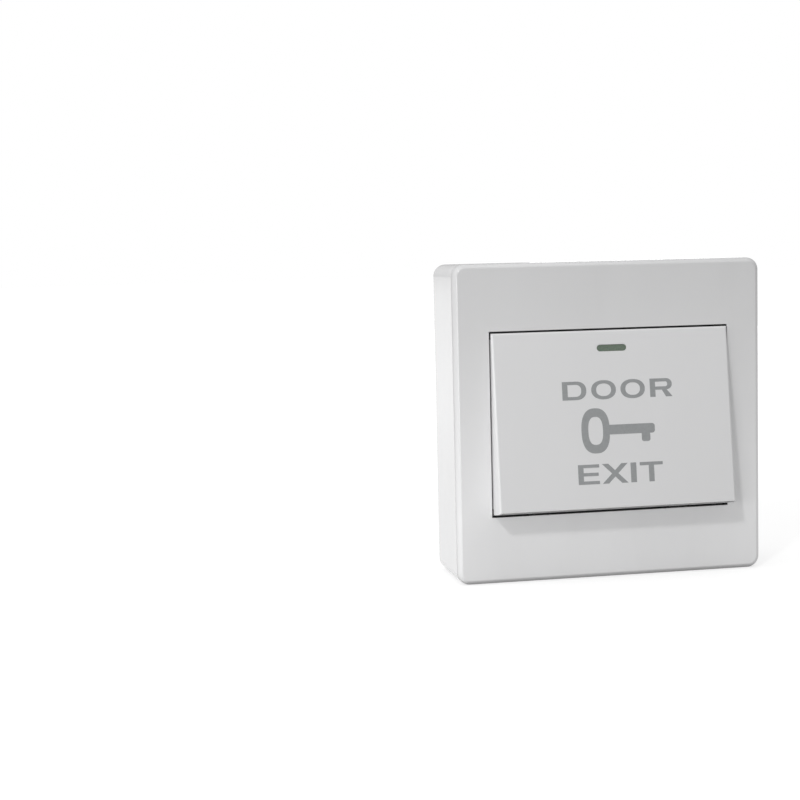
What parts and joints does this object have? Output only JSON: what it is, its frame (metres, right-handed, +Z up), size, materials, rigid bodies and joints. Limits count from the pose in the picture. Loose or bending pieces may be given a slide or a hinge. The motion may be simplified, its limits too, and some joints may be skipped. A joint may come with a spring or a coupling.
{
  "type": "door exit button",
  "caption": "Square surface-mounted door exit button: a shallow back box, a clip-on frame and a wide rocker hinged at its top edge that presses a contact.",
  "frame": {"origin": "centre of the flat back face, which lies on the wall", "axes": "+X to the right seen from the front, +Y into the wall, +Z up; the rocker faces -Y"},
  "size_m": [0.086, 0.0319, 0.086],
  "materials": {
    "white_plastic": "glossy white ABS",
    "rocker_plastic": "satin white ABS",
    "luminous_plastic": "dull green luminous plastic",
    "grey_plastic": "grey moulded plastic",
    "plunger_plastic": "natural acetal",
    "zinc_steel": "zinc plated steel",
    "spring_steel": "drawn spring steel",
    "brass": "stamped brass",
    "contact_silver": "silver contact"
  },
  "bodies": {
    "housing": {"back_box": "white_plastic", "front_frame": "white_plastic", "carrier": "white_plastic", "carrier_screws": "zinc_steel", "contact_block": "grey_plastic", "block_screws": "zinc_steel", "plunger_spring": "spring_steel", "left_terminal": "brass", "right_terminal": "brass", "fixed_contacts": "contact_silver", "terminal_screws": "zinc_steel", "clamp_plates": "zinc_steel", "return_spring_left": "spring_steel", "return_spring_right": "spring_steel"},
    "rocker": {"rocker": "rocker_plastic", "indicator_strip": "luminous_plastic"},
    "plunger": {"plunger": "plunger_plastic", "retaining_ring": "spring_steel", "contact_spring": "spring_steel", "contact_bridge": "brass", "bridge_contacts": "contact_silver"}
  },
  "joints": [
    {"name": "rocker_press", "type": "hinge", "parent": "housing", "child": "rocker", "pos_m": [0, -0.02, 0.0215], "axis": [1, 0, 0], "range_deg": [0, 5], "stiffness_Nm_per_rad": 0.8, "springref_deg": -2.86, "deforming": ["return_spring_left", "return_spring_right"]},
    {"name": "plunger_slide", "type": "slide", "parent": "housing", "child": "plunger", "axis": [0, 1, 0], "range_m": [0, 0.00223], "deforming": ["plunger_spring"]}
  ],
  "couplings": [
    {"joint": "plunger_slide", "follows": "rocker_press", "m_per_rad": 0.0255}
  ]
}
